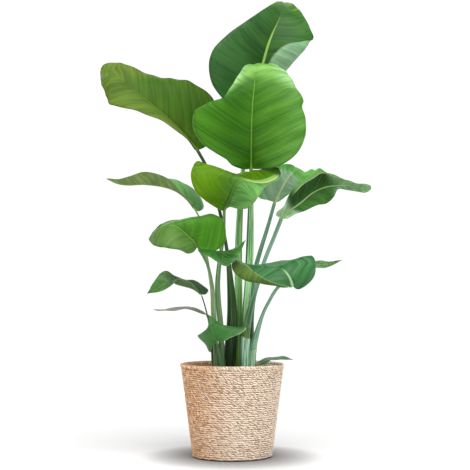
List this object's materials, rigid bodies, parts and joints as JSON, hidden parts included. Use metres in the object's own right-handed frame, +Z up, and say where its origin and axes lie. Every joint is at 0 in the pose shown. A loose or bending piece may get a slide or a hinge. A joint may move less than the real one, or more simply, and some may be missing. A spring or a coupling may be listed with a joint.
{
  "type": "potted bird of paradise plant",
  "caption": "Tall potted bird of paradise plant with broad paddle leaves on long upright stalks, in a round tapered woven seagrass basket.",
  "frame": {"origin": "centre of the basket's flat underside, on the surface the basket stands on", "axes": "+Z up along the basket's axis, -Y towards the plant's front, +X to the plant's right as seen from the front"},
  "size_m": [0.747, 0.4378, 1.302],
  "materials": {
    "seagrass": "woven twisted seagrass cord, matt, straw to orange tan",
    "leaf": "waxy green leaf, fine parallel veins, soft gloss above, dull and paler below",
    "stalk": "smooth grey-green leaf stalk, slightly waxy",
    "soil": "damp dark potting soil, rough",
    "pot": "thin dark brown nursery pot, satin"
  },
  "bodies": {
    "root": {"basket": "seagrass", "grow_pot": "pot", "soil": "soil", "top_leaf_stalk": "stalk", "top_leaf_blade": "leaf", "front_leaf_stalk": "stalk", "front_leaf_blade": "leaf", "left_leaf_stalk": "stalk", "left_leaf_blade": "leaf", "narrow_leaf_stalk": "stalk", "narrow_leaf_blade": "leaf", "centre_leaf_stalk": "stalk", "centre_leaf_blade": "leaf", "back_leaf_stalk": "stalk", "back_leaf_blade": "leaf", "right_leaf_stalk": "stalk", "right_leaf_blade": "leaf", "side_leaf_stalk": "stalk", "side_leaf_blade": "leaf", "boat_leaf_stalk": "stalk", "boat_leaf_blade": "leaf", "low_right_leaf_stalk": "stalk", "low_right_leaf_blade": "leaf", "twisted_leaf_stalk": "stalk", "twisted_leaf_blade": "leaf", "thin_leaf_stalk": "stalk", "thin_leaf_blade": "leaf", "folded_leaf_stalk": "stalk", "folded_leaf_blade": "leaf", "rim_leaf_stalk": "stalk", "rim_leaf_blade": "leaf", "young_leaf_stalk": "stalk", "young_leaf_blade": "leaf", "spear_leaf": "stalk"}
  },
  "joints": []
}
